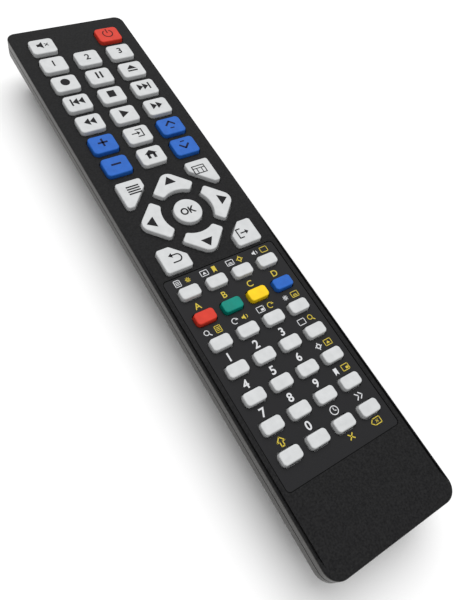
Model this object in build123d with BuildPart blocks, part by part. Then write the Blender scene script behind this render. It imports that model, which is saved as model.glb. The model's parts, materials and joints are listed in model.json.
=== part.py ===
"""Handheld remote control: a two-shell case, 57 keys, keypad, board, cells and cover.

Units are millimetres. The remote lies on its flat underside with the keys up:
+Z is out of the key face, +Y is the infrared end, and the origin is at the middle of
the underside. Heights are stacked up from the underside, and places along the case are
counted down from the infrared end, so every piece follows the sizes it touches.
"""
from build123d import *
from math import atan, degrees, radians, sqrt, tan
import os

os.makedirs("parts", exist_ok=True)

# Upper key field: three columns of plain rectangular keys
upper_key_width = 9.9
upper_key_length = 8.3
upper_key_corner = 1.7
upper_pitch_x = 13.6
upper_pitch_y = 10.65
upper_rows = 7

# Direction pad: four arrow keys that form a diamond round the centre key
arrow_reach = 18.9
arrow_tip_round = 3.6
arrow_inner_radius = 9.1
arrow_corner = 1.2
centre_key_radius = 5.2
pad_gap = 3.4

# Four keys that fill the corners of the direction pad
corner_key_width = 9.9
menu_key_length = 11.3
exit_key_length = 9.8
menu_rise = 1.8
exit_drop = 2.7
corner_key_corner = 1.3

# Lower key field: small keys that stand through the legend sheet
lower_key_width = 7.4
lower_key_length = 4.6
lower_key_corner = 1.4
lower_pitch_x = 10.0
lower_pitch_y = 9.67
lower_rows = 7

# Strips of bare face round the key fields
side_margin = 5.5
head_margin = 7.2
pad_clearance = 5.1
legend_top_gap = 1.1
legend_head_margin = 4.6
legend_side_margin = 2.8
legend_tail_margin = 6.2
tail_length = 25.2

# Case walls and edges
wall = 1.8
face_wall = 1.8
rim_height = 3.3
side_height = 6.8
head_corner = 3.5
tail_corner = 5.0
least_corner = 0.5
face_edge_round = 0.5
underside_round = 2.0
waist_round = 2.5
end_taper = 8.0
lip_thickness = 0.8
lip_height = 0.9
lip_clearance = 0.1
seam_groove = 0.25

# Shadow line just inside both long edges, from the middle of the case to its tail
edge_rim_width = 0.6
edge_groove_width = 0.7
edge_groove_depth = 0.8
edge_groove_run_out = 3.0
edge_groove_run_in = 26.0
edge_groove_head = 3.0

# Legend sheet let into the face
legend_thickness = 0.45
legend_recess = 0.6
legend_clearance = 0.25
legend_corner = 1.5

# Key travel and keypad stack
key_height = 1.4
key_gap = 0.25
key_draft = 4.0
key_edge_round = 0.4
key_travel = 0.8
flange_rim = 0.8
flange_thickness = 0.8
flange_clearance = 0.2
press_clearance = 0.2
plunger_radius = 1.5
plunger_clearance = 0.4
touch_clearance = 0.1
sheet_thickness = 0.8
sheet_margin = 0.6
contact_radius = 1.7
contact_thickness = 0.05

# Circuit board
board_thickness = 1.2
board_clearance = 0.3
board_side_clearance = 0.6
board_head_clearance = 2.6
board_tail_margin = 3.5
board_corner = 1.5
board_ledges = 5
board_ledge_width = 2.2
board_ledge_reach = 2.2
board_ledge_depth = 4.5

# Two AAA cells side by side, nose to tail
cell_diameter = 10.5
cell_body_length = 43.5
cell_nub_radius = 1.9
cell_nub_length = 1.0
cell_edge_round = 0.5
cell_gap = 0.7
cell_side_clearance = 0.5
cell_clearance = 0.3
roof_clearance = 0.2

# Battery bay and its contacts
bay_roof = 1.0
bay_wall = 1.2
bay_tail_distance = 16.3
contact_plate = 0.4
contact_width = 8.4
contact_height = 8.6
contact_tab_width = 3.0
slot_clearance = 0.2
spring_length = 5.0
spring_wire = 0.6
spring_base_radius = 3.4
spring_tip_radius = 2.1
spring_turns = 4
spring_fit = 0.03

# Sliding battery cover
cover_lift = 0.1
cover_thickness = 1.4
cover_side_lap = 2.0
cover_head_lap = 4.7
cover_rail_reach = 1.4
cover_rail_height = 0.9
cover_rail_rise = 0.5
cover_rail_web = 1.0
cover_clearance = 0.2
cover_flat_margin = 2.7
grip_ridges = 6
grip_pitch = 1.9
grip_width = 0.8
grip_length = 14.0
grip_depth = 0.45
grip_head_distance = 7.0
grip_mark_drop = 3.8
grip_mark_radius = 3.0

# Screws that pull the two shells together
screw_radius = 1.3
screw_head_radius = 2.3
screw_head_height = 1.6
screw_length = 10.0
screw_slot_length = 3.2
screw_slot_width = 0.6
screw_slot_depth = 0.7
screw_seat = 6.0
screw_bite = 5.0
screw_clearance = 0.02
screw_way_clearance = 0.2
boss_wall = 1.0
post_clearance = 0.4
hold_down_radius = 0.8

# Infrared end
window_width = 16.0
window_height = 4.0
window_fit = 0.1
window_flange = 1.0
window_corner = 0.4
led_radius = 1.5
led_rim = 0.4
led_rim_thickness = 0.6
led_body_length = 3.4
led_lead_width = 0.5
led_lead_spread = 1.27
led_clearance = 0.25
led_lead_length = 2.2

# Parts on the underside of the board
chip_width = 12.8
chip_length = 7.5
chip_height = 2.0
chip_leads = 10
chip_lead_pitch = 1.27
chip_lead_reach = 1.3
chip_lead_size = 0.4
capacitor_radius = 2.5
capacitor_length = 7.0
resonator_width = 7.0
resonator_depth = 2.6
resonator_height = 4.5
resistor_width = 2.0
resistor_length = 1.25
resistor_height = 0.5
resistor_pitch = 4.0
resistor_count = 6

# Half width of each key field, and the case width round the widest one
arrow_tip = arrow_reach - (sqrt(2) - 1) * arrow_tip_round
upper_half = upper_pitch_x + upper_key_width / 2
lower_half = 1.5 * lower_pitch_x + lower_key_width / 2
legend_half = lower_half + legend_side_margin
field_half = max(upper_half, legend_half - side_margin / 2, arrow_tip)
case_width = 2 * (field_half + side_margin)
half_width = case_width / 2

# Places along the case, as distances below the infrared end
upper_start = head_margin + upper_key_length / 2
upper_end = upper_start + (upper_rows - 1) * upper_pitch_y
pad_drop = upper_end + upper_key_length / 2 + pad_clearance + arrow_tip
exit_bottom = pad_drop + arrow_tip + exit_drop
legend_start = exit_bottom + legend_top_gap
lower_start = legend_start + legend_head_margin + lower_key_length / 2
lower_end = lower_start + (lower_rows - 1) * lower_pitch_y
legend_end = lower_end + lower_key_length / 2 + legend_tail_margin
case_length = legend_end + tail_length
half_length = case_length / 2

# The same places as Y coordinates
pad_y = half_length - pad_drop
legend_top_y = half_length - legend_start
legend_bottom_y = half_length - legend_end
legend_length = legend_top_y - legend_bottom_y
board_top_y = half_length - wall - board_head_clearance
board_bottom_y = half_length - lower_end - lower_key_length / 2 - board_tail_margin
bay_low_y = -half_length + bay_tail_distance
cell_length = cell_body_length + cell_nub_length
bay_length = 2 * contact_plate + cell_length + spring_length
bay_high_y = bay_low_y + bay_length
cover_head_y = bay_high_y + cover_head_lap

edge_groove_tail = -half_length + tail_corner

# Heights, from the underside up
cover_top_z = cover_lift + cover_thickness
cell_z = cover_top_z + cell_clearance + cell_diameter / 2
bay_ceiling_z = cell_z + cell_diameter / 2 + roof_clearance
board_z = bay_ceiling_z + bay_roof + board_clearance
board_top_z = board_z + board_thickness
sheet_top_z = board_top_z + sheet_thickness
flange_z = sheet_top_z + press_clearance + key_travel
flange_top_z = flange_z + flange_thickness
ceiling_z = flange_top_z + flange_clearance
face_z = ceiling_z + face_wall
key_top_z = face_z + key_height
seam_z = face_z - rim_height
waist_z = face_z - side_height
plunger_z = board_top_z + contact_thickness + touch_clearance + key_travel
draft_inset = (key_top_z - flange_top_z) * tan(radians(key_draft))

# Battery bay and cover, across the case
cell_x = (cell_diameter + cell_gap) / 2
bay_half = cell_x + cell_diameter / 2 + cell_side_clearance
plate_half = bay_half + cover_side_lap
rail_half = plate_half + cover_rail_reach
rail_z = cover_top_z + cover_rail_rise
rail_top_z = rail_z + cover_rail_height
channel_half = rail_half + cover_clearance
channel_top_z = rail_top_z + cover_clearance
underside_half = channel_half + cover_flat_margin
side_taper = half_width - underside_half

# Screws: one by the infrared end, one under the direction pad, two under the cover
post_radius = screw_radius + boss_wall
boss_radius = screw_head_radius + screw_way_clearance + boss_wall
boss_top_z = screw_seat + screw_head_height + screw_length - screw_bite
head_screw_y = (
    half_length - upper_start - upper_pitch_y + upper_key_length / 2
    + flange_rim + post_clearance + post_radius
)
middle_screw_y = (
    pad_y - arrow_tip - flange_rim
    + half_length - lower_start + lower_key_length / 2 + flange_rim
) / 2
tail_screw_y = bay_low_y - bay_wall - boss_radius
tail_screw_x = plate_half - boss_radius
head_screws = [(0, head_screw_y), (0, middle_screw_y)]
tail_screws = [(-tail_screw_x, tail_screw_y), (tail_screw_x, tail_screw_y)]
screw_spots = head_screws + tail_screws

# Infrared window and its diode, on one axis
led_z = board_top_z + led_lead_width / 2
window_front_y = half_length
window_back_y = half_length - wall - window_flange
led_tip_y = window_back_y - led_clearance
led_base_y = led_tip_y - led_radius - led_body_length - led_rim_thickness


def upper_spot(column, row):
    """Centre of a key in the upper field, columns 0 to 2 and rows 0 to 6."""
    return ((column - 1) * upper_pitch_x, half_length - upper_start - row * upper_pitch_y)


def lower_spot(column, row):
    """Centre of a key in the lower field, columns 0 to 3 and rows 0 to 6."""
    return ((column - 1.5) * lower_pitch_x, half_length - lower_start - row * lower_pitch_y)


# Each upper key by its column and row
upper_keys = {
    "mute_key": (0, 0),
    "power_key": (2, 0),
    "mode_one_key": (0, 1),
    "mode_two_key": (1, 1),
    "mode_three_key": (2, 1),
    "record_key": (0, 2),
    "pause_key": (1, 2),
    "eject_key": (2, 2),
    "skip_back_key": (0, 3),
    "stop_key": (1, 3),
    "skip_forward_key": (2, 3),
    "rewind_key": (0, 4),
    "play_key": (1, 4),
    "fast_forward_key": (2, 4),
    "volume_up_key": (0, 5),
    "input_key": (1, 5),
    "channel_up_key": (2, 5),
    "volume_down_key": (0, 6),
    "home_key": (1, 6),
    "channel_down_key": (2, 6),
}

# Lower keys by column and row: single keys, and rows or columns of like grey keys
lower_keys = {
    "red_key": [(0, 1)],
    "green_key": [(1, 1)],
    "yellow_key": [(2, 1)],
    "blue_key": [(3, 1)],
    "digit_1_key": [(0, 3)],
    "digit_2_key": [(1, 3)],
    "digit_3_key": [(2, 3)],
    "digit_4_key": [(0, 4)],
    "digit_5_key": [(1, 4)],
    "digit_6_key": [(2, 4)],
    "digit_7_key": [(0, 5)],
    "digit_8_key": [(1, 5)],
    "digit_9_key": [(2, 5)],
    "digit_0_key": [(1, 6)],
    "disc_row_keys": [(0, 0), (1, 0), (2, 0), (3, 0)],
    "search_row_keys": [(0, 2), (1, 2), (2, 2), (3, 2)],
    "side_column_keys": [(3, 3), (3, 4), (3, 5)],
    "bottom_row_keys": [(0, 6), (2, 6), (3, 6)],
}


def rectangle_outlines(spots, width, length, corner):
    """One rounded rectangle at each spot."""
    with BuildSketch() as outline:
        with Locations(*spots):
            RectangleRounded(width, length, corner)
    return outline.sketch


def arrow_outline(turn):
    """The arrow key on the given side of the direction pad, 0 for the one above."""
    with BuildSketch() as outline:
        Rectangle(sqrt(2) * arrow_reach, sqrt(2) * arrow_reach, rotation=45)
        fillet(outline.vertices(), radius=arrow_tip_round)
        Circle(arrow_inner_radius, mode=Mode.SUBTRACT)
        for angle in (45, -45):
            Rectangle(4 * arrow_reach, pad_gap, rotation=angle, mode=Mode.SUBTRACT)
        with BuildLine():
            far = 2 * arrow_reach
            Polyline((0, 0), (far, far), (-far, far), close=True)
        make_face(mode=Mode.INTERSECT)
        low = outline.vertices().group_by(Axis.Y)[0]
        sides = outline.vertices().group_by(Axis.X)
        fillet(low + sides[0] + sides[-1], radius=arrow_corner)
    return Pos(0, pad_y) * Rot(0, 0, turn) * outline.sketch


def corner_outline(side, end, length, rise):
    """A key that fills one corner beside the direction pad, cut off along the diamond."""
    middle_x = side * (upper_half - corner_key_width / 2)
    middle_y = end * (arrow_tip + rise - length / 2)
    diamond = sqrt(2) * arrow_reach + 2 * pad_gap
    with BuildSketch() as outline:
        with Locations((middle_x, middle_y)):
            Rectangle(corner_key_width, length)
        Rectangle(diamond, diamond, rotation=45, mode=Mode.SUBTRACT)
        shortest = outline.edges().sort_by(SortBy.LENGTH)[0].length
        fillet(outline.vertices(), radius=min(corner_key_corner, 0.45 * shortest))
    return Pos(0, pad_y) * outline.sketch


# The outline of every key, where it stands on the face
outlines = {}
for name, (column, row) in upper_keys.items():
    outlines[name] = rectangle_outlines(
        [upper_spot(column, row)], upper_key_width, upper_key_length, upper_key_corner
    )
for name, cells in lower_keys.items():
    outlines[name] = rectangle_outlines(
        [lower_spot(*cell) for cell in cells], lower_key_width, lower_key_length, lower_key_corner
    )
for name, turn in (("up_key", 0), ("left_key", 90), ("down_key", 180), ("right_key", 270)):
    outlines[name] = arrow_outline(turn)
outlines["menu_key"] = corner_outline(-1, 1, menu_key_length, menu_rise)
outlines["guide_key"] = corner_outline(1, 1, menu_key_length, menu_rise)
outlines["return_key"] = corner_outline(-1, -1, exit_key_length, exit_drop)
outlines["exit_key"] = corner_outline(1, -1, exit_key_length, exit_drop)
with BuildSketch() as centre_outline:
    with Locations((0, pad_y)):
        Circle(centre_key_radius)
outlines["centre_key"] = centre_outline.sketch
lower_names = list(lower_keys)
key_spots = [
    (face.center().X, face.center().Y) for outline in outlines.values() for face in outline.faces()
]


def key_plan(names, z, growth):
    """The named keys' outlines at a height, grown by a margin all round."""
    with BuildSketch(Plane.XY.offset(z)) as plan:
        for name in names:
            add(offset(outlines[name], amount=growth, mode=Mode.PRIVATE))
    return plan.sketch


def cap_plan(cap, z, inset):
    """One key's outline at a height, drawn in by an inset."""
    with BuildSketch(Plane.XY.offset(z)) as plan:
        add(offset(cap, amount=-inset, mode=Mode.PRIVATE) if inset else cap)
    return plan.sketch


def circle_plan(spots, z, radius):
    """A circle round each spot at a height."""
    with BuildSketch(Plane.XY.offset(z)) as plan:
        with Locations(*spots):
            Circle(radius)
    return plan.sketch


def case_plan(z, inset):
    """The case's plan at a height, drawn in by an inset; below the waist it tapers."""
    taper = max(0, 1 - z / waist_z)
    width = case_width - 2 * (inset + side_taper * taper)
    length = case_length - 2 * (inset + end_taper * taper)
    with BuildSketch(Plane.XY.offset(z)) as plan:
        Rectangle(width, length)
        fillet(plan.vertices().group_by(Axis.Y)[-1], radius=max(head_corner - inset, least_corner))
        fillet(plan.vertices().group_by(Axis.Y)[0], radius=max(tail_corner - inset, least_corner))
    return plan.sketch


def block(x, y, z, mode=Mode.ADD):
    """A box between two limits along each axis."""
    with Locations(((x[0] + x[1]) / 2, (y[0] + y[1]) / 2, (z[0] + z[1]) / 2)):
        Box(x[1] - x[0], y[1] - y[0], z[1] - z[0], mode=mode)


def save(builder, name):
    """Label a finished piece and write it out."""
    builder.part.label = name
    export_step(builder.part, "parts/" + name + ".step")


# Outer form of the lower half of the case, shared by the lower shell and the cover
with BuildPart() as lower_form:
    loft([case_plan(0, 0), case_plan(waist_z, 0)], ruled=True)
    extrude(case_plan(waist_z, 0), amount=seam_z - waist_z)
    fillet(lower_form.edges().filter_by_position(Axis.Z, waist_z, waist_z), radius=waist_round)
    fillet(lower_form.edges().group_by(Axis.Z)[0], radius=underside_round)
    chamfer(lower_form.edges().group_by(Axis.Z)[-1], length=seam_groove)

# Shadow line: a groove along each long edge that slopes down from nothing past the middle
# of the case and up again before the tail corners
with BuildPart() as shadow_line:
    with BuildSketch(Plane.YZ):
        with BuildLine():
            Polyline(
                (edge_groove_head, face_z),
                (edge_groove_head - edge_groove_run_in, face_z - edge_groove_depth),
                (edge_groove_tail + edge_groove_run_out, face_z - edge_groove_depth),
                (edge_groove_tail, face_z),
                (edge_groove_tail, key_top_z),
                (edge_groove_head, key_top_z),
                close=True,
            )
        make_face()
    extrude(amount=half_width, both=True)
    with BuildSketch(Plane.XY):
        for side in (-1, 1):
            with Locations((side * (half_width - edge_rim_width - edge_groove_width / 2), 0)):
                Rectangle(edge_groove_width, case_length)
    extrude(amount=key_top_z, mode=Mode.INTERSECT)

# Upper shell: face, rim, openings for the keys, screw posts and hold-down pins
hold_down_spots = [
    ((column - 1.5) * lower_pitch_x, half_length - lower_start - (row + 0.5) * lower_pitch_y)
    for column in (0, 3)
    for row in (1, 3, 5)
]
hold_down_spots += [
    (side * upper_pitch_x / 2, half_length - upper_start - (row + 0.5) * upper_pitch_y)
    for side in (-1, 1)
    for row in (1, 3, 5)
]
with BuildPart() as top_shell:
    extrude(case_plan(seam_z, 0), amount=rim_height)
    fillet(top_shell.edges().group_by(Axis.Z)[-1], radius=face_edge_round)
    chamfer(top_shell.edges().group_by(Axis.Z)[0], length=seam_groove)
    extrude(case_plan(seam_z, wall), amount=ceiling_z - seam_z, mode=Mode.SUBTRACT)
    extrude(
        case_plan(seam_z, wall - lip_thickness - lip_clearance),
        amount=lip_height + lip_clearance,
        mode=Mode.SUBTRACT,
    )
    with BuildSketch(Plane.XY.offset(face_z)):
        with Locations((0, (legend_top_y + legend_bottom_y) / 2)):
            RectangleRounded(2 * legend_half, legend_length, legend_corner)
    extrude(amount=-legend_recess, mode=Mode.SUBTRACT)
    extrude(circle_plan(screw_spots, boss_top_z, post_radius), amount=ceiling_z - boss_top_z)
    extrude(
        circle_plan(screw_spots, boss_top_z, screw_radius + screw_clearance),
        amount=screw_bite + screw_clearance,
        mode=Mode.SUBTRACT,
    )
    extrude(circle_plan(hold_down_spots, sheet_top_z, hold_down_radius), amount=ceiling_z - sheet_top_z)
    extrude(key_plan(outlines, ceiling_z, key_gap), amount=2 * face_wall, mode=Mode.SUBTRACT)
    add(shadow_line.part, mode=Mode.SUBTRACT)
    block(
        (-window_width / 2 - window_fit, window_width / 2 + window_fit),
        (half_length - 2 * wall, half_length + wall),
        (seam_z - window_height, led_z + window_height / 2 + window_fit),
        mode=Mode.SUBTRACT,
    )
save(top_shell, "top_shell")

# What stands inside the lower shell: channel housing, battery bay, board ledges and bosses
ledge_pitch = (board_top_y - board_bottom_y) / board_ledges
ledge_ys = [board_bottom_y + (k + 0.5) * ledge_pitch for k in range(board_ledges)]
ledge_x = half_width - wall - board_ledge_reach
with BuildPart() as inner_walls:
    block(
        (-channel_half - bay_wall, channel_half + bay_wall),
        (-half_length, cover_head_y + cover_clearance + bay_wall),
        (0, channel_top_z + bay_wall),
    )
    block(
        (-bay_half - bay_wall, bay_half + bay_wall),
        (bay_low_y - bay_wall, bay_high_y + bay_wall),
        (0, bay_ceiling_z + bay_roof),
    )
    for side in (-1, 1):
        for y in ledge_ys:
            block(
                sorted((side * ledge_x, side * (half_width - wall / 2))),
                (y - board_ledge_width / 2, y + board_ledge_width / 2),
                (board_z - board_ledge_depth, board_z),
            )
    extrude(circle_plan(screw_spots, 0, boss_radius), amount=boss_top_z)
    add(lower_form.part, mode=Mode.INTERSECT)

# Lower shell: tapered tray, open to the underside at the battery bay and the cover's channel
with BuildPart() as bottom_shell:
    add(lower_form.part)
    loft([case_plan(wall, wall), case_plan(waist_z, wall)], ruled=True, mode=Mode.SUBTRACT)
    extrude(case_plan(waist_z, wall), amount=seam_z - waist_z, mode=Mode.SUBTRACT)
    add(inner_walls.part)
    extrude(case_plan(seam_z, wall - lip_thickness), amount=lip_height)
    extrude(case_plan(seam_z, wall), amount=lip_height, mode=Mode.SUBTRACT)
    block((-bay_half, bay_half), (bay_low_y, bay_high_y), (-wall, bay_ceiling_z), mode=Mode.SUBTRACT)
    with BuildSketch(Plane.XZ.offset(-cover_head_y - cover_clearance)):
        Rectangle(2 * (plate_half + cover_clearance), 2 * channel_top_z)
        with Locations((0, (rail_z - cover_clearance + channel_top_z) / 2)):
            Rectangle(2 * channel_half, channel_top_z - rail_z + cover_clearance)
    extrude(amount=case_length, mode=Mode.SUBTRACT)
    extrude(
        circle_plan(screw_spots, -wall, screw_head_radius + screw_way_clearance),
        amount=screw_seat + screw_head_height + wall,
        mode=Mode.SUBTRACT,
    )
    extrude(
        circle_plan(screw_spots, 0, screw_radius + screw_way_clearance),
        amount=case_length,
        mode=Mode.SUBTRACT,
    )
    for side in (-1, 1):
        block(
            (side * cell_x - contact_tab_width / 2 - slot_clearance,
             side * cell_x + contact_tab_width / 2 + slot_clearance),
            (bay_high_y - contact_plate - slot_clearance, bay_high_y),
            (0, board_z),
            mode=Mode.SUBTRACT,
        )
    block(
        (-window_width / 2 - window_fit, window_width / 2 + window_fit),
        (half_length - 2 * wall, half_length + wall),
        (led_z - window_height / 2 - window_fit, face_z),
        mode=Mode.SUBTRACT,
    )
save(bottom_shell, "bottom_shell")

# Battery cover: plate with a hooked rail along each side, its tail end flush with the case
with BuildPart() as battery_cover:
    with BuildSketch(Plane.XZ.offset(-cover_head_y)):
        with Locations((0, (cover_lift + cover_top_z) / 2)):
            Rectangle(2 * plate_half, cover_thickness)
        for side in (-1, 1):
            with Locations((side * (plate_half - cover_rail_web / 2), (cover_lift + rail_top_z) / 2)):
                Rectangle(cover_rail_web, rail_top_z - cover_lift)
            with Locations((side * (plate_half - cover_rail_web / 2 + cover_rail_reach / 2),
                            (rail_z + rail_top_z) / 2)):
                Rectangle(cover_rail_web + cover_rail_reach, cover_rail_height)
    extrude(amount=case_length)
    tail_slope_y = -half_length + end_taper * (1 - rail_top_z / waist_z)
    block(
        (-plate_half, plate_half),
        (-half_length, tail_slope_y + cover_rail_web),
        (cover_top_z, rail_top_z),
    )
    add(lower_form.part, mode=Mode.INTERSECT)
    with BuildSketch(Plane.XY.offset(cover_lift)):
        for ridge in range(grip_ridges):
            with Locations((0, cover_head_y - grip_head_distance - ridge * grip_pitch)):
                SlotOverall(grip_length, grip_width)
        grip_end_y = cover_head_y - grip_head_distance - grip_ridges * grip_pitch
        with Locations((0, grip_end_y - grip_mark_drop)):
            RegularPolygon(grip_mark_radius, 3, rotation=-90)
    extrude(amount=grip_depth, mode=Mode.SUBTRACT)
save(battery_cover, "battery_cover")

# Legend sheet: thin printed plate in its recess, open round every small key
with BuildPart() as legend_sheet:
    with BuildSketch(Plane.XY.offset(face_z - legend_recess)):
        with Locations((0, (legend_top_y + legend_bottom_y) / 2)):
            RectangleRounded(
                2 * (legend_half - legend_clearance),
                legend_length - 2 * legend_clearance,
                legend_corner - legend_clearance,
            )
    extrude(amount=legend_thickness)
    extrude(
        key_plan(lower_names, face_z - legend_recess, key_gap),
        amount=legend_thickness,
        mode=Mode.SUBTRACT,
    )
save(legend_sheet, "legend_sheet")


def led_notch(low_z, high_z):
    """The opening that the diode stands in, cut from the infrared end of a flat piece."""
    block(
        (-led_radius - led_rim - slot_clearance, led_radius + led_rim + slot_clearance),
        (led_base_y - slot_clearance, half_length),
        (low_z, high_z),
        mode=Mode.SUBTRACT,
    )


# Circuit board, with a printed contact under every key
with BuildPart() as circuit_board:
    extrude(case_plan(board_z, wall + board_side_clearance), amount=board_thickness)
    block(
        (-half_width, half_width),
        (board_bottom_y, board_top_y),
        (board_z, board_top_z),
        mode=Mode.INTERSECT,
    )
    fillet(circuit_board.edges().filter_by(Axis.Z), radius=board_corner)
    extrude(
        circle_plan(screw_spots, board_z, post_radius + post_clearance),
        amount=board_thickness,
        mode=Mode.SUBTRACT,
    )
    led_notch(board_z, board_top_z)
    extrude(circle_plan(key_spots, board_top_z, contact_radius), amount=contact_thickness)
save(circuit_board, "circuit_board")

# Rubber keypad sheet on the board, open round every plunger
with BuildPart() as keypad_sheet:
    extrude(
        case_plan(board_top_z, wall + board_side_clearance + sheet_margin), amount=sheet_thickness
    )
    block(
        (-half_width, half_width),
        (board_bottom_y + sheet_margin, board_top_y - sheet_margin),
        (board_top_z, sheet_top_z),
        mode=Mode.INTERSECT,
    )
    fillet(keypad_sheet.edges().filter_by(Axis.Z), radius=board_corner)
    extrude(
        circle_plan(screw_spots, board_top_z, post_radius + post_clearance),
        amount=sheet_thickness,
        mode=Mode.SUBTRACT,
    )
    extrude(
        circle_plan(key_spots, board_top_z, contact_radius + plunger_clearance),
        amount=sheet_thickness,
        mode=Mode.SUBTRACT,
    )
    led_notch(board_top_z, sheet_top_z)
    block(
        (-led_radius - led_rim, led_radius + led_rim),
        (led_base_y - led_lead_length - slot_clearance, half_length),
        (board_top_z, sheet_top_z),
        mode=Mode.SUBTRACT,
    )
save(keypad_sheet, "keypad_sheet")

# Infrared window, stepped so that it is trapped between the shells
with BuildPart() as ir_window:
    block(
        (-window_width / 2, window_width / 2),
        (window_front_y - wall, window_front_y),
        (led_z - window_height / 2, led_z + window_height / 2),
    )
    fillet(ir_window.edges().filter_by(Axis.Z).group_by(Axis.Y)[-1], radius=window_corner)
    block(
        (-window_width / 2 - window_flange, window_width / 2 + window_flange),
        (window_back_y, window_front_y - wall),
        (led_z - window_height / 2, led_z + window_height / 2),
    )
save(ir_window, "ir_window")

# Infrared diode: rimmed body, domed tip and two leads on the board
led_plane = Plane(origin=(0, led_base_y, led_z), z_dir=(0, 1, 0))
with BuildPart() as ir_led:
    with BuildSketch(led_plane):
        Circle(led_radius + led_rim)
    extrude(amount=led_rim_thickness)
    with BuildSketch(led_plane):
        Circle(led_radius)
    extrude(amount=led_rim_thickness + led_body_length)
    with Locations((0, led_base_y + led_rim_thickness + led_body_length, led_z)):
        Sphere(led_radius)
    for side in (-1, 1):
        block(
            (side * led_lead_spread - led_lead_width / 2, side * led_lead_spread + led_lead_width / 2),
            (led_base_y - led_lead_length, led_base_y),
            (board_top_z, board_top_z + led_lead_width),
        )
save(ir_led, "ir_led")

# Parts soldered under the board
chip_y = upper_spot(1, 3)[1]
small_parts_y = upper_spot(1, 5)[1]
with BuildPart() as board_components:
    block(
        (-chip_width / 2, chip_width / 2),
        (chip_y - chip_length / 2, chip_y + chip_length / 2),
        (board_z - chip_height - chip_lead_size / 2, board_z - chip_lead_size / 2),
    )
    for side in (-1, 1):
        edge_y = chip_y + side * chip_length / 2
        with Locations((0, edge_y + side * chip_lead_reach / 2, board_z - chip_lead_size / 2)):
            with GridLocations(chip_lead_pitch, 1, chip_leads, 1):
                Box(chip_lead_size, chip_lead_reach, chip_lead_size)
    with Locations((upper_pitch_x, small_parts_y, board_z - capacitor_radius)):
        Cylinder(capacitor_radius, capacitor_length, rotation=(90, 0, 0))
    with Locations((-upper_pitch_x, small_parts_y, board_z - resonator_height / 2)):
        Box(resonator_width, resonator_depth, resonator_height)
    with Locations((0, small_parts_y, board_z - resistor_height / 2)):
        with GridLocations(resistor_pitch, resistor_pitch, 2, resistor_count // 2):
            Box(resistor_length, resistor_width, resistor_height)
save(board_components, "board_components")

# Two AAA cells, nose to tail
with BuildPart() as battery_cells:
    for side in (-1, 1):
        nub_y = bay_low_y + contact_plate if side < 0 else bay_high_y - contact_plate
        nub_plane = Plane(origin=(side * cell_x, nub_y, cell_z), z_dir=(0, -side, 0))
        with BuildSketch(nub_plane):
            Circle(cell_nub_radius)
        extrude(amount=cell_nub_length)
        with BuildSketch(nub_plane.offset(cell_nub_length)):
            Circle(cell_diameter / 2)
        extrude(amount=cell_body_length)
    rims = battery_cells.edges().filter_by(GeomType.CIRCLE)
    fillet(rims.filter_by(lambda edge: edge.radius > cell_nub_radius), radius=cell_edge_round)
save(battery_cells, "battery_cells")

# Sheet-metal contacts at both ends of the bay: two with tabs up to the board, one link
with BuildPart() as contact_plates:
    for side in (-1, 1):
        block(
            (side * cell_x - contact_width / 2, side * cell_x + contact_width / 2),
            (bay_high_y - contact_plate, bay_high_y),
            (cell_z - contact_height / 2, cell_z + contact_height / 2),
        )
        block(
            (side * cell_x - contact_tab_width / 2, side * cell_x + contact_tab_width / 2),
            (bay_high_y - contact_plate, bay_high_y),
            (cell_z, board_z),
        )
    block(
        (-cell_x - contact_width / 2, cell_x + contact_width / 2),
        (bay_low_y, bay_low_y + contact_plate),
        (cell_z - contact_height / 2, cell_z + contact_height / 2),
    )
save(contact_plates, "contact_plates")

# Coil springs that press on the flat end of each cell
with BuildPart() as battery_springs:
    for side in (-1, 1):
        base_y = bay_high_y - contact_plate if side < 0 else bay_low_y + contact_plate
        rise = spring_length - spring_wire - 2 * spring_fit
        with BuildLine() as coil:
            Helix(
                pitch=rise / spring_turns,
                height=rise,
                radius=spring_base_radius,
                center=(side * cell_x, base_y + side * (spring_wire / 2 + spring_fit), cell_z),
                direction=(0, side, 0),
                cone_angle=-degrees(atan((spring_base_radius - spring_tip_radius) / rise)),
            )
        with BuildSketch(coil.line ^ 0):
            Circle(spring_wire / 2)
        sweep(path=coil.line, is_frenet=True)
save(battery_springs, "battery_springs")

# Self-tapping screws from below, with a cross slot in the head
with BuildPart() as case_screws:
    extrude(circle_plan(screw_spots, screw_seat, screw_head_radius), amount=screw_head_height)
    extrude(
        circle_plan(screw_spots, screw_seat + screw_head_height, screw_radius),
        amount=screw_length,
    )
    for spot in screw_spots:
        with BuildSketch(Plane.XY.offset(screw_seat)):
            with Locations(spot):
                Rectangle(screw_slot_length, screw_slot_width)
                Rectangle(screw_slot_width, screw_slot_length)
        extrude(amount=screw_slot_depth, mode=Mode.SUBTRACT)
save(case_screws, "case_screws")

# Keys: a tapered cap on a flange that the face holds down, and a plunger below it
smallest_corner = min(upper_key_corner, lower_key_corner, corner_key_corner, arrow_corner)
key_top_round = min(key_edge_round, 0.85 * (smallest_corner - draft_inset))
for name, outline in outlines.items():
    caps = outline.faces()
    spots = [(cap.center().X, cap.center().Y) for cap in caps]
    with BuildPart() as key:
        extrude(key_plan([name], flange_z, flange_rim), amount=flange_thickness)
        for cap in caps:
            loft([cap_plan(cap, flange_top_z, 0), cap_plan(cap, key_top_z, draft_inset)], ruled=True)
        fillet(key.edges().group_by(Axis.Z)[-1], radius=key_top_round)
        extrude(circle_plan(spots, plunger_z, plunger_radius), amount=flange_z - plunger_z)
    save(key, name)
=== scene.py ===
"""Looks and camera of the handheld remote control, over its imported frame."""
import json
from math import cos, hypot, pi, radians, sin

import bpy
from mathutils import Matrix, Vector


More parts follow.
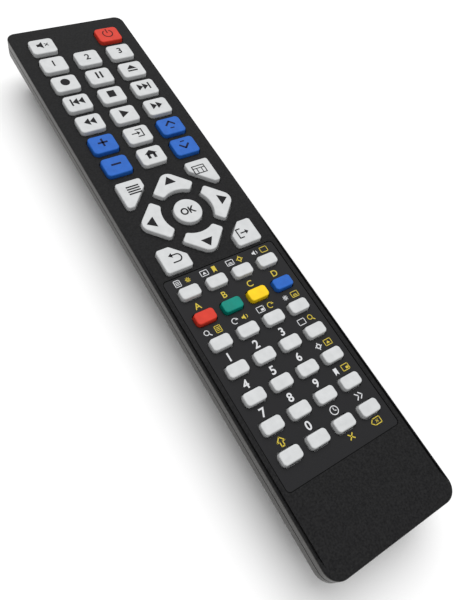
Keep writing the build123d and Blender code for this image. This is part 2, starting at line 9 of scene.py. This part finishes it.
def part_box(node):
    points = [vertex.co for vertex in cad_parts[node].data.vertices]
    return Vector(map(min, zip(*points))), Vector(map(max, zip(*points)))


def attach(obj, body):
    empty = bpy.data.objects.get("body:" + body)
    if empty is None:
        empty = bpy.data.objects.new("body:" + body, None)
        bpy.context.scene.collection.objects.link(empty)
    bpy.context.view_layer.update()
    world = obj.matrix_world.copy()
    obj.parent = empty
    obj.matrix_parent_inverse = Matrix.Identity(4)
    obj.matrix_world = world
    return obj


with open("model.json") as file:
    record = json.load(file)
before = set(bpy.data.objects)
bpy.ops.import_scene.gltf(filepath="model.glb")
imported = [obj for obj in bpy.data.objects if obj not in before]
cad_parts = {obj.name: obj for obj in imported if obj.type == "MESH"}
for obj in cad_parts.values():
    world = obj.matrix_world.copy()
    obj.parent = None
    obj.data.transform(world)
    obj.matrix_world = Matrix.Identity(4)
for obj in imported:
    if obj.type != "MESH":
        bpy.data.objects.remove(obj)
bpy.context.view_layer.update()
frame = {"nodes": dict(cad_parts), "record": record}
nodes = frame["nodes"]
MM = 0.001


def middle(node):
    """X and Y of the middle of a CAD node, in millimetres."""
    low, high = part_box(node)
    return ((low.x + high.x) / 2 / MM, (low.y + high.y) / 2 / MM)


def top(node):
    """Height of the top of a CAD node, in millimetres."""
    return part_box(node)[1].z / MM


# Materials

NOISE_DETAIL = 4
DARK_UNTIL, LIGHT_FROM = 0.3, 0.7
RELIEF_DISTANCE = 0.00006


def srgb(red, green, blue):
    """A colour in linear light from its 0 to 255 values."""
    def linear(value):
        value /= 255
        return value / 12.92 if value < 0.04045 else ((value + 0.055) / 1.055) ** 2.4
    return (linear(red), linear(green), linear(blue), 1)


def surface(name, dark, light, grain, gloss, relief, **inputs):
    """A material whose colour, roughness and relief follow noise of that scale per metre."""
    material = bpy.data.materials.new(name)
    material.use_nodes = True
    tree = material.node_tree
    shader = tree.nodes["Principled BSDF"]
    place = tree.nodes.new("ShaderNodeTexCoord")
    noise = tree.nodes.new("ShaderNodeTexNoise")
    noise.inputs["Scale"].default_value = grain
    noise.inputs["Detail"].default_value = NOISE_DETAIL
    ramp = tree.nodes.new("ShaderNodeValToRGB")
    ramp.color_ramp.elements[0].position = DARK_UNTIL
    ramp.color_ramp.elements[0].color = dark
    ramp.color_ramp.elements[1].position = LIGHT_FROM
    ramp.color_ramp.elements[1].color = light
    rough = tree.nodes.new("ShaderNodeMapRange")
    rough.inputs["To Min"].default_value = gloss[0]
    rough.inputs["To Max"].default_value = gloss[1]
    bump = tree.nodes.new("ShaderNodeBump")
    bump.inputs["Strength"].default_value = relief
    bump.inputs["Distance"].default_value = RELIEF_DISTANCE
    tree.links.new(place.outputs["Object"], noise.inputs["Vector"])
    tree.links.new(noise.outputs["Fac"], ramp.inputs["Fac"])
    tree.links.new(noise.outputs["Fac"], rough.inputs["Value"])
    tree.links.new(noise.outputs["Fac"], bump.inputs["Height"])
    tree.links.new(ramp.outputs["Color"], shader.inputs["Base Color"])
    tree.links.new(rough.outputs["Result"], shader.inputs["Roughness"])
    tree.links.new(bump.outputs["Normal"], shader.inputs["Normal"])
    for key, value in inputs.items():
        shader.inputs[key.replace("_", " ")].default_value = value
    return material


def axis(material, name, output="Object"):
    """One coordinate of the surface's place, in metres, or of its normal."""
    tree = material.node_tree
    place = tree.nodes["Texture Coordinate"]
    parts = tree.nodes.new("ShaderNodeSeparateXYZ")
    tree.links.new(place.outputs[output], parts.inputs[0])
    return parts.outputs[name]


def calculate(material, operation, first, second=0.0):
    """The result of a math node on sockets or plain numbers."""
    tree = material.node_tree
    node = tree.nodes.new("ShaderNodeMath")
    node.operation = operation
    for socket, value in zip(node.inputs, (first, second)):
        if isinstance(value, (int, float)):
            socket.default_value = value
        else:
            tree.links.new(value, socket)
    return node.outputs[0]


def mask(material, value, low, high):
    """0 where the value is at low, 1 where it is at high, and held beyond both."""
    tree = material.node_tree
    node = tree.nodes.new("ShaderNodeMapRange")
    node.inputs["From Min"].default_value = low
    node.inputs["From Max"].default_value = high
    tree.links.new(value, node.inputs["Value"])
    return node.outputs["Result"]


def change(material, factor, **inputs):
    """Inputs of the surface that go over to another number or colour where the mask is 1."""
    tree = material.node_tree
    shader = tree.nodes["Principled BSDF"]
    for key, value in inputs.items():
        socket = shader.inputs[key.replace("_", " ")]
        mix = tree.nodes.new("ShaderNodeMix")
        coloured = isinstance(value, tuple)
        mix.data_type = "RGBA" if coloured else "FLOAT"
        # The mix node has its own sockets for colours and for numbers
        first, second, result = (6, 7, 2) if coloured else (2, 3, 0)
        if socket.links:
            tree.links.new(socket.links[0].from_socket, mix.inputs[first])
        else:
            mix.inputs[first].default_value = socket.default_value
        mix.inputs[second].default_value = value
        tree.links.new(factor, mix.inputs[0])
        tree.links.new(mix.outputs[result], socket)


FACE_LIFT, SIDE_LIFT = 0.9, 0.55


def case_surface(name, dark, light):
    """Black case plastic: grained on its flat faces, smoother and shinier on its sides."""
    material = surface(name, dark, light, 1700, (0.5, 0.75), 0.6, Specular_IOR_Level=0.09)
    lift = calculate(material, "ABSOLUTE", axis(material, "Z", "Normal"))
    side = mask(material, lift, FACE_LIFT, SIDE_LIFT)
    change(
        material, side, Roughness=0.34, Specular_IOR_Level=0.5, Specular_Tint=(1, 0.95, 0.86, 1)
    )
    return material


def rubber_surface(name, dark, light):
    """Silicone of a key: soft satin with hardly any relief."""
    return surface(name, dark, light, 420, (0.42, 0.56), 0.08, Specular_IOR_Level=0.14)


# The contact pads are the highest places of the board
board_low, board_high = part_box("circuit_board")
pads_from, pads_full = board_high.z - 0.00003, board_high.z - 0.00002
board_material = surface(
    "board_mask", (0.012, 0.11, 0.045, 1), (0.02, 0.17, 0.07, 1), 260, (0.25, 0.4), 0.1,
    Coat_Weight=0.4,
)
pads = mask(board_material, axis(board_material, "Z"), pads_from, pads_full)
change(board_material, pads, Base_Color=(0.03, 0.03, 0.032, 1), Roughness=0.5, Coat_Weight=0.0)

# Components far to the right are blue, far to the left orange, and close to the board is solder
outer_from, outer_full = 0.009, 0.0091
solder_from, solder_full = board_low.z - 0.00042, board_low.z - 0.0004
part_material = surface(
    "component_body", (0.015, 0.015, 0.016, 1), (0.03, 0.03, 0.032, 1), 700, (0.4, 0.55), 0.2
)
across = axis(part_material, "X")
far_right = mask(part_material, across, outer_from, outer_full)
change(part_material, far_right, Base_Color=(0.02, 0.05, 0.22, 1))
far_left = mask(part_material, across, -outer_from, -outer_full)
change(part_material, far_left, Base_Color=(0.6, 0.2, 0.03, 1))
solder = mask(part_material, axis(part_material, "Z"), solder_from, solder_full)
change(part_material, solder, Base_Color=(0.55, 0.55, 0.56, 1), Metallic=1.0, Roughness=0.35)

# The cells have a gold band towards the nub and bare ends within their rim
cell_low, cell_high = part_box("battery_cells")
cell_radius = (cell_high.z - cell_low.z) / 2
cell_x = (cell_high.x - cell_low.x) / 2 - cell_radius
cell_z = (cell_high.z + cell_low.z) / 2
cell_middle = (cell_low.y + cell_high.y) / 2
band_from, band_full = 0.0105, 0.0107
rim_end, bare_from = cell_radius - 0.0006, cell_radius - 0.0007
cell_material = surface(
    "cell_sleeve", (0.015, 0.16, 0.07, 1), (0.03, 0.24, 0.11, 1), 120, (0.22, 0.34), 0.05,
    Coat_Weight=0.5,
)
cell_along = axis(cell_material, "Y")
cell_side = calculate(cell_material, "SIGN", axis(cell_material, "X"))
from_middle = calculate(cell_material, "SUBTRACT", cell_along, cell_middle)
towards_nub = calculate(cell_material, "MULTIPLY", from_middle, cell_side)
sleeve_band = mask(cell_material, towards_nub, band_from, band_full)
change(cell_material, sleeve_band, Base_Color=(0.5, 0.42, 0.16, 1))
distance_x = calculate(cell_material, "ABSOLUTE", axis(cell_material, "X"))
off_x = calculate(cell_material, "SUBTRACT", distance_x, cell_x)
off_z = calculate(cell_material, "SUBTRACT", axis(cell_material, "Z"), cell_z)
off_axis = calculate(
    cell_material, "SQRT",
    calculate(
        cell_material, "ADD",
        calculate(cell_material, "MULTIPLY", off_x, off_x),
        calculate(cell_material, "MULTIPLY", off_z, off_z),
    ),
)
cell_end = mask(cell_material, off_axis, rim_end, bare_from)
change(cell_material, cell_end, Base_Color=(0.7, 0.7, 0.7, 1), Metallic=1.0, Roughness=0.3)

looks = {
    "case_plastic": case_surface(
        "case_black", (0.005, 0.005, 0.0055, 1), (0.017, 0.017, 0.0175, 1)
    ),
    "cover_plastic": case_surface(
        "cover_black", (0.005, 0.005, 0.0055, 1), (0.016, 0.016, 0.0165, 1)
    ),
    "legend_plastic": surface(
        "legend_black", (0.009, 0.009, 0.010, 1), (0.013, 0.013, 0.0145, 1), 2200, (0.55, 0.75),
        0.3, Specular_IOR_Level=0.18,
    ),
    "key_grey": rubber_surface("rubber_grey", (0.53, 0.54, 0.545, 1), (0.59, 0.60, 0.605, 1)),
    "key_red": rubber_surface("rubber_red", (0.54, 0.034, 0.018, 1), (0.62, 0.044, 0.025, 1)),
    "key_green": rubber_surface("rubber_green", (0.0005, 0.19, 0.145, 1), (0.001, 0.23, 0.18, 1)),
    "key_yellow": rubber_surface("rubber_yellow", (0.80, 0.52, 0.006, 1), (0.88, 0.60, 0.01, 1)),
    "key_blue": rubber_surface("rubber_blue", (0.014, 0.10, 0.42, 1), (0.02, 0.125, 0.5, 1)),
    "keypad_rubber": surface(
        "rubber_sheet", (0.42, 0.42, 0.42, 1), (0.5, 0.5, 0.5, 1), 300, (0.5, 0.65), 0.1
    ),
    "board": board_material,
    "component": part_material,
    "led_epoxy": surface(
        "smoked_epoxy", (0.2, 0.16, 0.24, 1), (0.3, 0.25, 0.34, 1), 160, (0.05, 0.12), 0.02,
        Transmission_Weight=0.7, Coat_Weight=0.5,
    ),
    "window_plastic": surface(
        "infrared_plastic", (0.014, 0.001, 0.002, 1), (0.03, 0.002, 0.004, 1), 140, (0.06, 0.12),
        0.02, Coat_Weight=0.6,
    ),
    "cell_wrap": cell_material,
    "spring_steel": surface(
        "spring_nickel", (0.5, 0.5, 0.5, 1), (0.68, 0.68, 0.67, 1), 900, (0.2, 0.36), 0.1,
        Metallic=1.0,
    ),
    "contact_steel": surface(
        "contact_nickel", (0.55, 0.54, 0.5, 1), (0.7, 0.68, 0.63, 1), 600, (0.24, 0.4), 0.1,
        Metallic=1.0,
    ),
    "screw_steel": surface(
        "screw_black_zinc", (0.1, 0.1, 0.11, 1), (0.2, 0.2, 0.21, 1), 900, (0.3, 0.45), 0.15,
        Metallic=1.0,
    ),
}
for part in frame["record"]["subparts"]:
    obj = nodes[part["node"]]
    for material_slot in obj.material_slots:
        material_slot.material = looks[part["material_slot"]]


def ink(name, colour, mottle=0.82):
    """Printing ink: a flat tone with a faint mottle."""
    paler = tuple(min(1, value / mottle) for value in colour[:3]) + (1,)
    return surface(name, colour, paler, 1100, (0.5, 0.62), 0.04, Specular_IOR_Level=0.1)


inks = {
    "dark": ink("ink_dark", srgb(20, 20, 22)),
    "red": ink("ink_dark_red", srgb(72, 14, 12)),
    "blue": ink("ink_dark_blue", srgb(12, 20, 52)),
    "white": ink("ink_white", srgb(205, 206, 208), 0.95),
    "yellow": ink("ink_yellow", srgb(196, 176, 66), 0.95),
}

# Printed shapes: each is a list of (points, faces) in millimetres about its own middle

ARC_STEP = 12
JOINT_SIDES = 12
PRINT_THICKNESS = 0.04


def area(points):
    """Signed area of a polygon."""
    return sum(
        x0 * y1 - x1 * y0 for (x0, y0), (x1, y1) in zip(points, points[1:] + points[:1])
    ) / 2


def shape(*points):
    """One polygon, turned so that it faces up."""
    points = list(points)
    if area(points) < 0:
        points.reverse()
    return [(points, [list(range(len(points)))])]


def bar(x, y, width, height):
    """A rectangle about a middle."""
    return shape(
        (x - width / 2, y - height / 2), (x + width / 2, y - height / 2),
        (x + width / 2, y + height / 2), (x - width / 2, y + height / 2),
    )


def disc(x, y, radius, sides=28):
    """A filled circle."""
    steps = [2 * pi * k / sides for k in range(sides)]
    return shape(*[(x + radius * cos(a), y + radius * sin(a)) for a in steps])


def arc(x, y, radius, width, start=0, end=360):
    """A band along an arc, angles in degrees."""
    count = max(4, int((end - start) / ARC_STEP))
    angles = [radians(start + (end - start) * k / count) for k in range(count + 1)]
    pieces = []
    for a, b in zip(angles, angles[1:]):
        inner, outer = radius - width / 2, radius + width / 2
        pieces += shape(
            (x + inner * cos(a), y + inner * sin(a)), (x + outer * cos(a), y + outer * sin(a)),
            (x + outer * cos(b), y + outer * sin(b)), (x + inner * cos(b), y + inner * sin(b)),
        )
    return pieces


def stroke(width, *points):
    """A line of that width through the points, with round joints."""
    pieces = []
    for (x0, y0), (x1, y1) in zip(points, points[1:]):
        run = hypot(x1 - x0, y1 - y0)
        dx, dy = (y0 - y1) / run * width / 2, (x1 - x0) / run * width / 2
        pieces += shape(
            (x0 - dx, y0 - dy), (x1 - dx, y1 - dy), (x1 + dx, y1 + dy), (x0 + dx, y0 + dy)
        )
    for x, y in points[1:-1]:
        pieces += disc(x, y, width / 2, JOINT_SIDES)
    return pieces


def box_frame(width, height, line=0.28):
    """The outline of a rectangle."""
    right, high = width / 2 - line / 2, height / 2 - line / 2
    return stroke(
        line, (0, -high), (right, -high), (right, high), (-right, high), (-right, -high),
        (0, -high),
    )


def letters(text, height, squeeze=1.0, weight=0.02):
    """Plain lettering of that height, centred."""
    curve = bpy.data.curves.new("letters", "FONT")
    curve.body = text
    curve.resolution_u = 6
    curve.offset = weight
    carrier = bpy.data.objects.new("letters", curve)
    mesh = bpy.data.meshes.new_from_object(carrier)
    flat = [(v.co.x, v.co.y) for v in mesh.vertices]
    faces = [list(p.vertices) for p in mesh.polygons]
    bpy.data.objects.remove(carrier)
    bpy.data.curves.remove(curve)
    bpy.data.meshes.remove(mesh)
    xs, ys = [p[0] for p in flat], [p[1] for p in flat]
    scale = height / (max(ys) - min(ys))
    mid_x, mid_y = (max(xs) + min(xs)) / 2, (max(ys) + min(ys)) / 2
    points = [((px - mid_x) * scale * squeeze, (py - mid_y) * scale) for px, py in flat]
    for face in faces:
        if area([points[k] for k in face]) < 0:
            face.reverse()
    return [(points, faces)]


def move(pieces, x, y, turn=0, size=1.0, flip=1):
    """The same shapes turned, resized or mirrored, then shifted."""
    c, s = cos(radians(turn)), sin(radians(turn))
    moved = []
    for points, faces in pieces:
        placed = [
            (x + size * (px * flip * c - py * s), y + size * (px * flip * s + py * c))
            for px, py in points
        ]
        moved.append((placed, faces if flip > 0 else [face[::-1] for face in faces]))
    return moved


def emboss(name, pieces, z, material, body):
    """Prints the shapes about a height, as one thin mesh that moves with a body."""
    points, faces = [], []
    for flat, polygons in pieces:
        base, count = len(points), len(flat)
        for level in (z - PRINT_THICKNESS / 2, z + PRINT_THICKNESS / 2):
            points += [(x * MM, y * MM, level * MM) for x, y in flat]
        # The edges that only one polygon has are the rim, which gets walls
        rim = {}
        for polygon in polygons:
            faces.append([base + count + k for k in polygon])
            faces.append([base + k for k in reversed(polygon)])
            for a, b in zip(polygon, polygon[1:] + polygon[:1]):
                if (b, a) in rim:
                    del rim[b, a]
                else:
                    rim[a, b] = True
        faces += [[base + a, base + b, base + count + b, base + count + a] for a, b in rim]
    mesh = bpy.data.meshes.new(name)
    mesh.from_pydata(points, [], faces)
    mesh.update()
    mesh.materials.append(material)
    printed = bpy.data.objects.new(name, mesh)
    bpy.context.scene.collection.objects.link(printed)
    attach(printed, body)


# Printing on the upper keys
MODE_DIGIT_HEIGHT, OK_HEIGHT = 2.7, 2.9
COMMON_SHIFT, COMMON_SIZE = (0, 0.5), 1.12

back = shape((-1.7, 0), (0, 1.3), (0, -1.3)) + shape((0, 0), (1.7, 1.3), (1.7, -1.3))
chevron = stroke(0.68, (-1.7, -0.75), (0, 0.95), (1.7, -0.75))
key_glyphs = {
    "mute": shape((-2.0, -0.6), (-1.1, -0.6), (0.1, -1.6), (0.1, 1.6), (-1.1, 0.6), (-2.0, 0.6))
    + stroke(0.32, (0.8, -0.65), (2.1, 0.65)) + stroke(0.32, (0.8, 0.65), (2.1, -0.65)),
    "power": arc(0, 0, 1.75, 0.42, 122, 418) + bar(0, 1.25, 0.42, 2.1),
    "mode_one": letters("1", MODE_DIGIT_HEIGHT),
    "mode_two": letters("2", MODE_DIGIT_HEIGHT),
    "mode_three": letters("3", MODE_DIGIT_HEIGHT),
    "record": disc(0, 0, 1.75),
    "pause": bar(-0.75, 0, 0.7, 3.1) + bar(0.75, 0, 0.7, 3.1),
    "eject": shape((-1.8, -0.3), (1.8, -0.3), (0, 1.6)) + bar(0, -1.15, 3.6, 0.65),
    "skip_back": move(back, 0.3, 0) + bar(-1.65, 0, 0.5, 2.6),
    "stop": bar(0, 0, 3.0, 3.3),
    "skip_forward": move(back, -0.3, 0, flip=-1) + bar(1.65, 0, 0.5, 2.6),
    "rewind": back,
    "play": shape((-1.1, -1.55), (-1.1, 1.55), (1.5, 0)),
    "fast_forward": move(back, 0, 0, flip=-1),
    "volume_up": bar(0, 0, 3.3, 0.7) + bar(0, 0, 0.7, 3.3),
    "input": stroke(0.4, (-0.3, 1.5), (1.8, 1.5), (1.8, -1.5), (-0.3, -1.5))
    + stroke(0.4, (-2.0, 0), (0.1, 0)) + shape((0, -0.85), (0, 0.85), (1.0, 0)),
    "channel_up": move(chevron, 0, 0.5) + bar(0, -1.5, 1.5, 0.45),
    "volume_down": bar(0, 0, 3.3, 0.7),
    "home": shape((-2.2, 0.15), (2.2, 0.15), (0, 1.75)) + bar(-1.0, -0.75, 0.95, 1.9)
    + bar(1.0, -0.75, 0.95, 1.9) + bar(0, 0, 2.9, 0.4),
    "channel_down": move(chevron, 0, -0.5, 180) + bar(0, 1.5, 1.5, 0.45),
    "menu": bar(0, 1.35, 4.2, 0.5) + bar(0, 0.45, 4.2, 0.5) + bar(0, -0.45, 4.2, 0.5)
    + bar(0, -1.35, 4.2, 0.5),
    "guide": box_frame(4.6, 3.4, 0.35) + bar(0, 0.55, 4.2, 0.3) + bar(-0.8, -0.5, 0.3, 2.2)
    + bar(0.9, -0.5, 0.3, 2.2),
    "return": arc(0.3, 0, 1.25, 0.42, -90, 90) + stroke(0.42, (0.3, 1.25), (-1.0, 1.25))
    + stroke(0.42, (0.3, -1.25), (-1.6, -1.25)) + shape((-0.9, 0.4), (-0.9, 2.1), (-2.1, 1.25)),
    "exit": stroke(0.4, (-0.3, 1.6), (-1.8, 1.6), (-1.8, -1.6), (-0.3, -1.6))
    + stroke(0.4, (-0.9, 0), (1.0, 0)) + shape((0.9, -0.9), (0.9, 0.9), (2.0, 0)),
    "centre": letters("OK", OK_HEIGHT, squeeze=0.95, weight=0.03),
}
glyph_inks = {
    "power": "red", "volume_up": "blue", "volume_down": "blue", "channel_up": "blue",
    "channel_down": "blue",
}
glyph_shift = {
    "menu": (0.6, 1.2), "guide": (-0.6, 1.2), "return": (0.6, -0.2), "exit": (-0.6, -0.2),
    "centre": (0, 0),
}
glyph_size = {
    "skip_back": 1.3, "skip_forward": 1.3, "rewind": 1.3, "fast_forward": 1.3, "play": 1.25,
    "record": 1.0, "stop": 1.0, "centre": 1.0,
}
for name, glyph in key_glyphs.items():
    node = name + "_key"
    x, y = middle(node)
    dx, dy = glyph_shift.get(name, COMMON_SHIFT)
    size = glyph_size.get(name, COMMON_SIZE)
    emboss(
        name + "_glyph", move(glyph, x + dx, y + dy, size=size), top(node),
        inks[glyph_inks.get(name, "dark")], node,
    )

# Each arrow key has the same pointer, turned about the middle of the direction pad
pointer_half_width, pointer_base, pointer_tip = 2.2, 12.6, 15.8
pointer = shape(
    (-pointer_half_width, pointer_base), (pointer_half_width, pointer_base), (0, pointer_tip)
)
pad_x, pad_y = middle("centre_key")
for name, turn in (("up", 0), ("left", 90), ("down", 180), ("right", 270)):
    node = name + "_key"
    emboss(name + "_glyph", move(pointer, pad_x, pad_y, turn), top(node), inks["dark"], node)

# Printing on the legend sheet, above each small key and below the last two
DIGIT_HEIGHT, LETTER_HEIGHT = 2.9, 2.3
ABOVE_KEY, BELOW_KEY = 4.65, -4.3
PAIR_SHIFT, PAIR_SIZE = 1.9, 0.85
DIGIT_ROW, LAST_ROW = 3, 6

first_x, first_y = middle("digit_1_key")
last_x, last_y = middle("digit_9_key")
pitch_x, pitch_y = (last_x - first_x) / 2, (first_y - last_y) / 2
sheet_z = top("legend_sheet")


def spot(column, row, dx=0.0, dy=ABOVE_KEY):
    """A place beside a key of the lower field, for move()."""
    return (first_x + column * pitch_x + dx, first_y + (DIGIT_ROW - row) * pitch_y + dy)


digits = []
for number in range(10):
    if number:
        column, row = (number - 1) % 3, DIGIT_ROW + (number - 1) // 3
    else:
        column, row = 1, LAST_ROW
    # The font's nine breaks when it is thickened, so nine is a six turned upside down
    drawn, turn = ("6", 180) if number == 9 else (str(number), 0)
    digits += move(letters(drawn, DIGIT_HEIGHT), *spot(column, row), turn=turn)
emboss("digit_legends", digits, sheet_z, inks["white"], "housing")
colour_letters = []
for column, letter in enumerate("ABCD"):
    colour_letters += move(letters(letter, LETTER_HEIGHT, weight=0.008), *spot(column, 1))
emboss("colour_letter_legends", colour_letters, sheet_z, inks["yellow"], "housing")

page = box_frame(2.6, 3.0)
for line_y in (0.6, 0, -0.6):
    page += bar(0, line_y, 1.5, 0.26)
screen = box_frame(3.4, 2.6)
caption = screen + bar(0, -0.55, 2.2, 0.26) + bar(0, -0.05, 1.4, 0.26)
inset = screen + bar(0.65, -0.3, 1.2, 0.9)
popup = screen + shape((-0.8, -0.5), (0.8, -0.5), (0, 0.6))
horn = shape(
    (-1.3, -0.4), (-0.7, -0.4), (0.1, -1.1), (0.1, 1.1), (-0.7, 0.4), (-1.3, 0.4)
) + arc(0.2, 0, 0.9, 0.26, -50, 50)
lens = arc(-0.3, 0.3, 0.95, 0.3) + stroke(0.4, (0.4, -0.4), (1.3, -1.3))
loop = arc(0, 0, 1.15, 0.3, 30, 300) + shape((0.4, 0.2), (1.7, 0.2), (1.05, 1.1))
flag = shape((-0.8, -1.4), (-0.8, 1.4), (0.8, 1.4), (0.8, -1.4), (0, -0.6))
wheel = (
    arc(0, 0, 0.8, 0.45) + bar(0, 1.2, 0.4, 0.6) + bar(0, -1.2, 0.4, 0.6)
    + bar(1.2, 0, 0.6, 0.4) + bar(-1.2, 0, 0.6, 0.4)
)
star = (
    stroke(0.28, (-1.1, 0), (1.1, 0)) + stroke(0.28, (0, -1.1), (0, 1.1))
    + stroke(0.28, (-0.8, -0.8), (0.8, 0.8)) + stroke(0.28, (-0.8, 0.8), (0.8, -0.8))
)
clock = arc(0, 0, 1.35, 0.28) + stroke(0.28, (0, 0.9), (0, 0), (0.7, -0.3))
chevrons = (
    stroke(0.34, (-1.2, 1.1), (-0.1, 0), (-1.2, -1.1))
    + stroke(0.34, (0.2, 1.1), (1.3, 0), (0.2, -1.1))
)
shift_arrow = stroke(
    0.34, (-0.5, -1.4), (-0.5, 0), (-1.3, 0), (0, 1.4), (1.3, 0), (0.5, 0), (0.5, -1.4),
    (-0.5, -1.4),
)
cross = stroke(0.36, (-0.9, -0.9), (0.9, 0.9)) + stroke(0.36, (-0.9, 0.9), (0.9, -0.9))
rub_out = stroke(
    0.28, (-1.9, 0), (-0.9, 1.0), (1.7, 1.0), (1.7, -1.0), (-0.9, -1.0), (-1.9, 0)
) + move(cross, 0.3, 0, size=0.5)

# The white and the yellow sign of each function key, by its column and row
pairs = {
    (0, 0): (page, star), (1, 0): (popup, flag), (2, 0): (caption, wheel), (3, 0): (horn, screen),
    (0, 2): (lens, page), (1, 2): (loop, horn), (2, 2): (inset, loop), (3, 2): (star, caption),
    (3, 3): (screen, lens), (3, 4): (wheel, popup), (3, 5): (flag, inset),
}
white, yellow = [], []
for (column, row), (left, right) in pairs.items():
    white += move(left, *spot(column, row, -PAIR_SHIFT), size=PAIR_SIZE)
    yellow += move(right, *spot(column, row, PAIR_SHIFT), size=PAIR_SIZE)
white += move(clock, *spot(2, LAST_ROW)) + move(chevrons, *spot(3, LAST_ROW))
yellow += move(shift_arrow, *spot(0, LAST_ROW))
for column, sign in ((2, cross), (3, rub_out)):
    yellow += move(sign, *spot(column, LAST_ROW, dy=BELOW_KEY))
emboss("white_pictograms", white, sheet_z, inks["white"], "housing")
emboss("yellow_pictograms", yellow, sheet_z, inks["yellow"], "housing")

# Floor, which is clear from below, and to rays that end close to where they start, so that the
# underside and the battery bay can be looked at
floor_reach, floor_z = 4, -0.05 * MM
clear_reach = 6 * MM
floor_mesh = bpy.data.meshes.new("floor")
floor_mesh.from_pydata(
    [
        (-floor_reach, -floor_reach, floor_z), (floor_reach, -floor_reach, floor_z),
        (floor_reach, floor_reach, floor_z), (-floor_reach, floor_reach, floor_z),
    ],
    [], [(0, 1, 2, 3)],
)
floor_look = surface(
    "floor_white", (0.93, 0.93, 0.93, 1), (0.95, 0.95, 0.95, 1), 3, (0.85, 0.95), 0.0
)
floor_mesh.materials.append(floor_look)
floor_tree = floor_look.node_tree
facing = floor_tree.nodes.new("ShaderNodeNewGeometry")
path = floor_tree.nodes.new("ShaderNodeLightPath")
short = calculate(floor_look, "LESS_THAN", path.outputs["Ray Length"], clear_reach)
clear = floor_tree.nodes.new("ShaderNodeBsdfTransparent")
either = floor_tree.nodes.new("ShaderNodeMixShader")
floor_tree.links.new(
    calculate(floor_look, "MAXIMUM", facing.outputs["Backfacing"], short), either.inputs[0]
)
floor_tree.links.new(floor_tree.nodes["Principled BSDF"].outputs[0], either.inputs[1])
floor_tree.links.new(clear.outputs[0], either.inputs[2])
floor_tree.links.new(either.outputs[0], floor_tree.nodes["Material Output"].inputs["Surface"])
floor = bpy.data.objects.new("floor", floor_mesh)
bpy.context.scene.collection.objects.link(floor)

# Light: a wide sun and a plain world, which the camera sees as white
SUN_ENERGY, SUN_ANGLE = 2.2, 64
SUN_SIDE = Vector((0.3, 0.6, 1.2))
WORLD_STRENGTH = 0.6

sun_data = bpy.data.lights.new("soft_sun", "SUN")
sun_data.energy = SUN_ENERGY
sun_data.angle = radians(SUN_ANGLE)
sun = bpy.data.objects.new("soft_sun", sun_data)
sun.rotation_euler = SUN_SIDE.to_track_quat("Z", "Y").to_euler()
bpy.context.scene.collection.objects.link(sun)

world = bpy.data.worlds.new("studio")
world.use_nodes = True
bpy.context.scene.world = world
world_tree = world.node_tree
backdrop = world_tree.nodes["Background"]
backdrop.inputs["Color"].default_value = (1, 1, 1, 1)
backdrop.inputs["Strength"].default_value = WORLD_STRENGTH
seen = world_tree.nodes.new("ShaderNodeBackground")
seen.inputs["Color"].default_value = (1, 1, 1, 1)
rays = world_tree.nodes.new("ShaderNodeLightPath")
choice = world_tree.nodes.new("ShaderNodeMixShader")
world_tree.links.new(rays.outputs["Is Camera Ray"], choice.inputs[0])
world_tree.links.new(backdrop.outputs[0], choice.inputs[1])
world_tree.links.new(seen.outputs[0], choice.inputs[2])
world_tree.links.new(choice.outputs[0], world_tree.nodes["World Output"].inputs["Surface"])

# Camera, fitted to the photo: its turn is an axis as long as the angle in radians
CAMERA_TURN = Vector((2.580, -0.650, 0.465))
CAMERA_PLACE = Vector((-78.89, -85.58, 171.53))
CAMERA_LENS, SENSOR_WIDTH = 33.68, 36

to_camera = Matrix.Rotation(CAMERA_TURN.length, 3, CAMERA_TURN)
camera_data = bpy.data.cameras.new("camera")
camera_data.lens = CAMERA_LENS
camera_data.sensor_width = SENSOR_WIDTH
camera = bpy.data.objects.new("camera", camera_data)
camera.matrix_world = Matrix.Translation(CAMERA_PLACE * MM) @ (
    to_camera.transposed() @ Matrix.Diagonal((1, -1, -1))
).to_4x4()
bpy.context.scene.collection.objects.link(camera)
bpy.context.scene.camera = camera
bpy.context.scene.view_settings.view_transform = "Standard"
